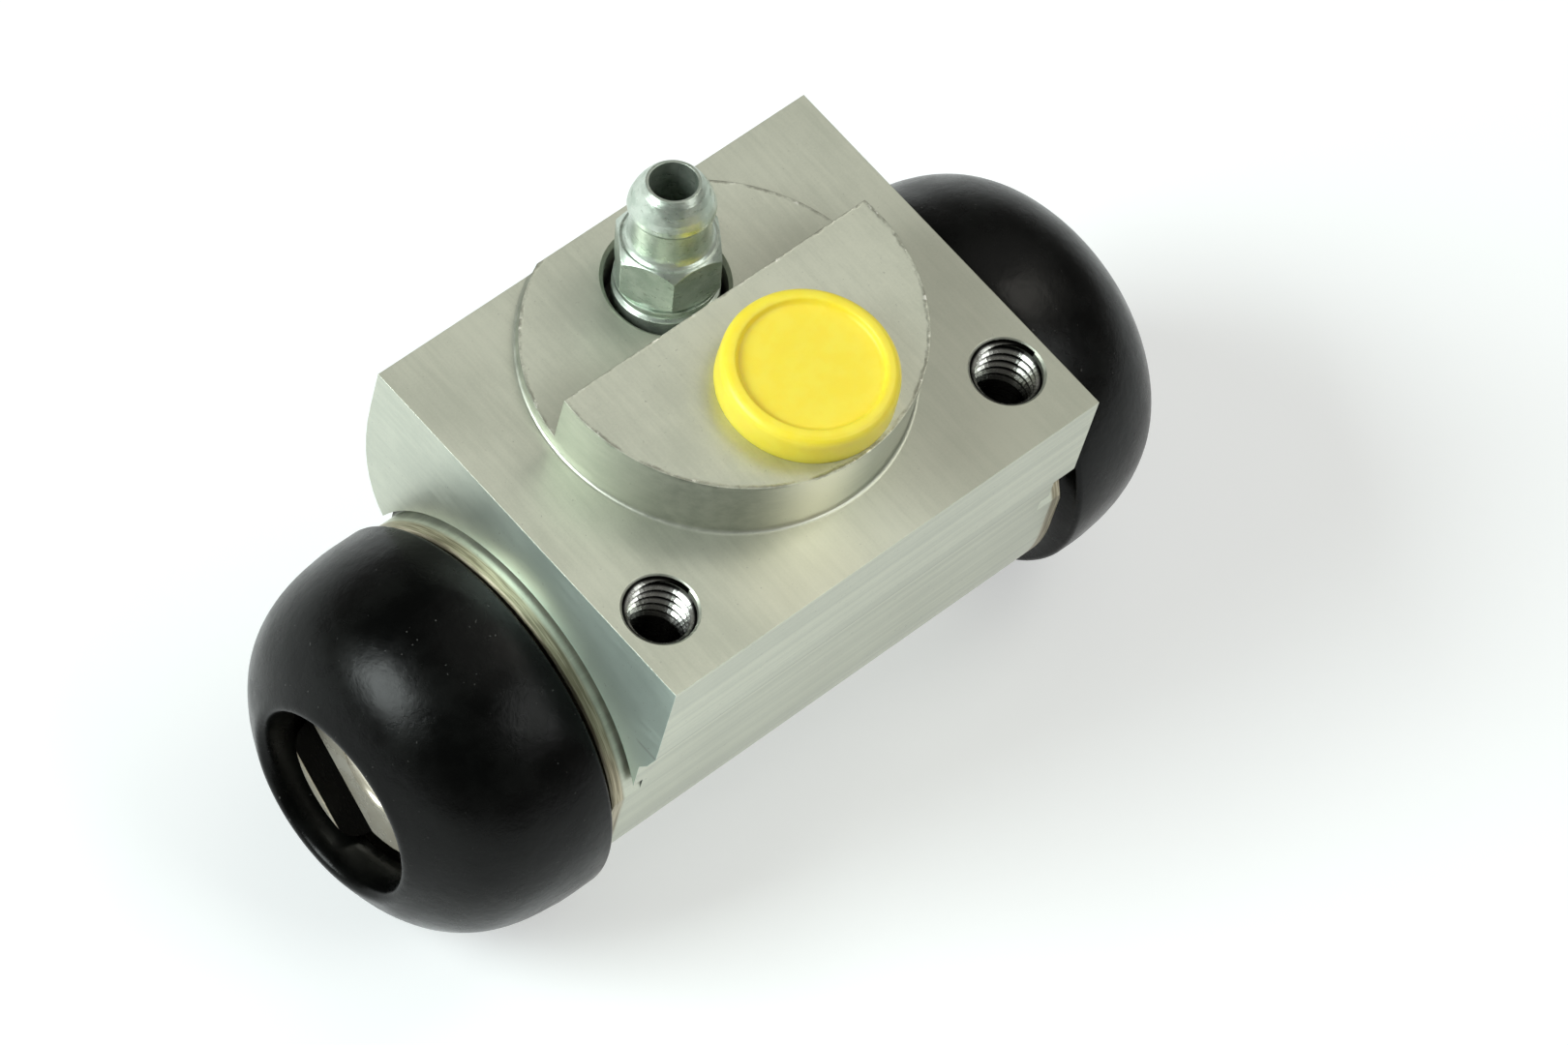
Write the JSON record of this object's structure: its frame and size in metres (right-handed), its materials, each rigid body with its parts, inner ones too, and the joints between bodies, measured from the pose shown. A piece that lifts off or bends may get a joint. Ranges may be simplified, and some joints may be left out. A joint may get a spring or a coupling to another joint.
{
  "type": "wheel cylinder",
  "caption": "Hydraulic drum brake wheel cylinder: aluminium body with stepped pilot boss, opposed pistons under rubber boots, bleed screw and plugged pipe inlet.",
  "frame": {"origin": "on the mounting face, midway between the two bolt holes", "axes": "+Z out of the mounting face, +X along the bore, +Y from the bolt holes to the bleed screw"},
  "size_m": [0.0798, 0.0358, 0.0528],
  "materials": {
    "body_aluminium": "milled",
    "piston_metal": "turned",
    "cup_rubber": "smooth",
    "boot_rubber": "moulded satin",
    "spring_steel": "drawn",
    "zinc_steel": "zinc plated",
    "yellow_plastic": "moulded"
  },
  "bodies": {
    "housing": {"cylinder_body": "body_aluminium", "return_spring": "spring_steel", "left_boot": "boot_rubber", "right_boot": "boot_rubber"},
    "left_piston": {"left_piston": "piston_metal", "left_cup_seal": "cup_rubber", "left_spring_seat": "spring_steel"},
    "right_piston": {"right_piston": "piston_metal", "right_cup_seal": "cup_rubber", "right_spring_seat": "spring_steel"},
    "bleed_screw": {"bleed_screw": "zinc_steel"},
    "inlet_plug": {"inlet_plug": "yellow_plastic"}
  },
  "joints": [
    {"name": "left_piston_slide", "type": "slide", "parent": "housing", "child": "left_piston", "axis": [-1, 0, 0], "range_m": [-0.002, 0.005], "stiffness_N_per_m": 400, "deforming": ["left_boot", "return_spring"]},
    {"name": "right_piston_slide", "type": "slide", "parent": "housing", "child": "right_piston", "axis": [1, 0, 0], "range_m": [-0.002, 0.005], "stiffness_N_per_m": 400, "deforming": ["right_boot", "return_spring"]},
    {"name": "bleed_screw_turn", "type": "hinge", "parent": "housing", "child": "bleed_screw", "pos_m": [0.0012, 0.022, 0.0011], "axis": [0, 0.1564, 0.9877], "range_deg": [0, 180]},
    {"name": "inlet_plug_pull", "type": "slide", "parent": "housing", "child": "inlet_plug", "axis": [0, 0, 1], "range_m": [0, 0.02]}
  ]
}
